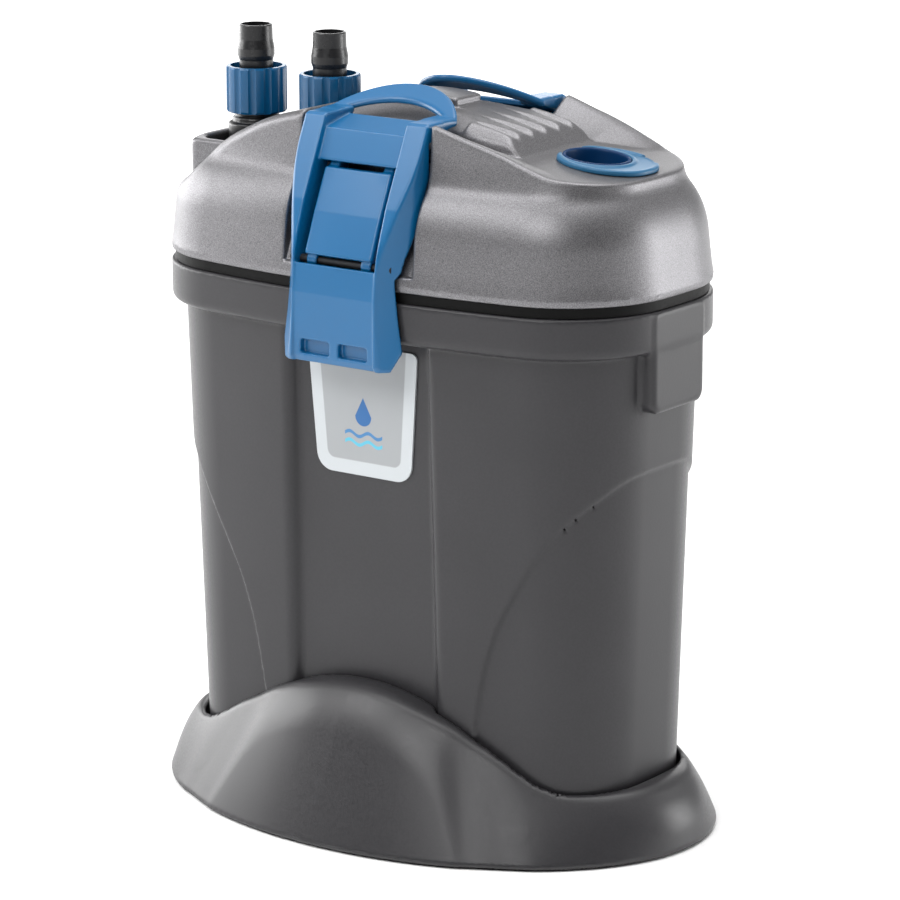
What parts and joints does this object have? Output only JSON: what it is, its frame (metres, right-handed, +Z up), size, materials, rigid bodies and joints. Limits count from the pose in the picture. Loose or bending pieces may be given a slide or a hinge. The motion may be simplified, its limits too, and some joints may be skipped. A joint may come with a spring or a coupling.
{
  "type": "aquarium canister filter",
  "caption": "Upright oval canister water filter with a pump head, side latches, top hose connectors, a priming button and a flared foot.",
  "frame": {"origin": "centre of the foot's underside, on the surface it stands on", "axes": "+Z up; +X along the oval's length towards the priming button; -Y towards the label"},
  "size_m": [0.2652, 0.1868, 0.331],
  "materials": {
    "housing_grey": "satin moulded",
    "foot_grey": "satin moulded",
    "head_grey": "metallic-flake moulded",
    "latch_blue": "gloss moulded",
    "nut_blue": "gloss moulded",
    "black_plastic": "satin moulded",
    "inner_plastic": "satin moulded",
    "label_print": "printed satin",
    "coarse_foam": "open foam",
    "fine_foam": "open foam",
    "ceramic": "bisque",
    "bush_ceramic": "polished",
    "magnet": "sintered",
    "potting": "cast resin",
    "steel": "stainless",
    "rubber": "matt"
  },
  "bodies": {
    "canister": {"base_foot": "foot_grey", "foot_pads": "rubber", "canister_housing": "housing_grey", "label_plate": "label_print", "downflow_tube": "inner_plastic", "bottom_grid": "inner_plastic"},
    "basket_low": {"basket_lower": "inner_plastic", "coarse_foam": "coarse_foam"},
    "basket_mid": {"basket_middle": "inner_plastic", "ceramic_rings": "ceramic"},
    "basket_top": {"basket_upper": "inner_plastic", "fine_foam": "fine_foam"},
    "head": {"head_base_plate": "black_plastic", "head_seal": "rubber", "head_shell": "head_grey", "priming_bezel": "latch_blue", "priming_cylinder": "black_plastic", "priming_spring": "steel", "pump_housing": "black_plastic", "stator": "potting", "rotor_shaft": "bush_ceramic", "upper_bush": "rubber", "lower_bush": "rubber", "impeller_cover": "black_plastic", "cover_seal": "rubber", "inlet_elbow": "black_plastic", "outlet_elbow": "black_plastic", "connector_seals": "rubber", "inlet_hose_tail": "black_plastic", "outlet_hose_tail": "black_plastic", "cable_gland": "black_plastic", "head_screws": "steel", "link_pins": "steel"},
    "rotor": {"impeller": "black_plastic", "rotor_magnet": "magnet"},
    "plunger": {"priming_plunger": "latch_blue"},
    "inlet_nut": {"inlet_union_nut": "nut_blue"},
    "outlet_nut": {"outlet_union_nut": "nut_blue"},
    "front_link": {"front_draw_link": "latch_blue"},
    "front_frame": {"front_latch_frame": "latch_blue", "front_frame_pin": "steel"},
    "rear_link": {"rear_draw_link": "latch_blue"},
    "rear_frame": {"rear_latch_frame": "latch_blue", "rear_frame_pin": "steel"}
  },
  "joints": [
    {"name": "head_lift", "type": "slide", "parent": "canister", "child": "head", "axis": [0, 0, 1], "range_m": [0, 0.3]},
    {"name": "basket_top_lift", "type": "slide", "parent": "canister", "child": "basket_top", "axis": [0, 0, 1], "range_m": [0, 0.186]},
    {"name": "basket_mid_lift", "type": "slide", "parent": "canister", "child": "basket_mid", "axis": [0, 0, 1], "range_m": [0, 0.114]},
    {"name": "basket_low_lift", "type": "slide", "parent": "canister", "child": "basket_low", "axis": [0, 0, 1], "range_m": [0, 0.048]},
    {"name": "impeller_spin", "type": "hinge", "parent": "head", "child": "rotor", "pos_m": [0.012, 0, 0.245], "axis": [0, 0, 1], "continuous": true},
    {"name": "priming_press", "type": "slide", "parent": "head", "child": "plunger", "axis": [0, 0, -1], "range_m": [0, 0.01], "stiffness_N_per_m": 300, "deforming": ["priming_spring"]},
    {"name": "inlet_nut_spin", "type": "hinge", "parent": "head", "child": "inlet_nut", "pos_m": [-0.0975, 0, 0.303], "axis": [0, 0, 1], "continuous": true},
    {"name": "outlet_nut_spin", "type": "hinge", "parent": "head", "child": "outlet_nut", "pos_m": [-0.0572, 0, 0.303], "axis": [0, 0, 1], "continuous": true},
    {"name": "front_link_swing", "type": "hinge", "parent": "head", "child": "front_link", "pos_m": [0, -0.0462, 0.291], "axis": [-1, 0, 0], "range_deg": [0, 45]},
    {"name": "front_frame_tilt", "type": "hinge", "parent": "front_link", "child": "front_frame", "pos_m": [0, -0.067, 0.2475], "axis": [1, 0, 0], "range_deg": [0, 71.1]},
    {"name": "rear_link_swing", "type": "hinge", "parent": "head", "child": "rear_link", "pos_m": [0, 0.0462, 0.291], "axis": [1, 0, 0], "range_deg": [0, 45]},
    {"name": "rear_frame_tilt", "type": "hinge", "parent": "rear_link", "child": "rear_frame", "pos_m": [0, 0.067, 0.2475], "axis": [-1, 0, 0], "range_deg": [0, 71.1]}
  ],
  "couplings": [
    {"joint": "basket_top_lift", "follows": "head_lift", "ratio": 0.62},
    {"joint": "basket_mid_lift", "follows": "head_lift", "ratio": 0.38},
    {"joint": "basket_low_lift", "follows": "head_lift", "ratio": 0.16},
    {"joint": "front_frame_tilt", "follows": "front_link_swing", "ratio": 1.578},
    {"joint": "rear_frame_tilt", "follows": "rear_link_swing", "ratio": 1.578}
  ]
}
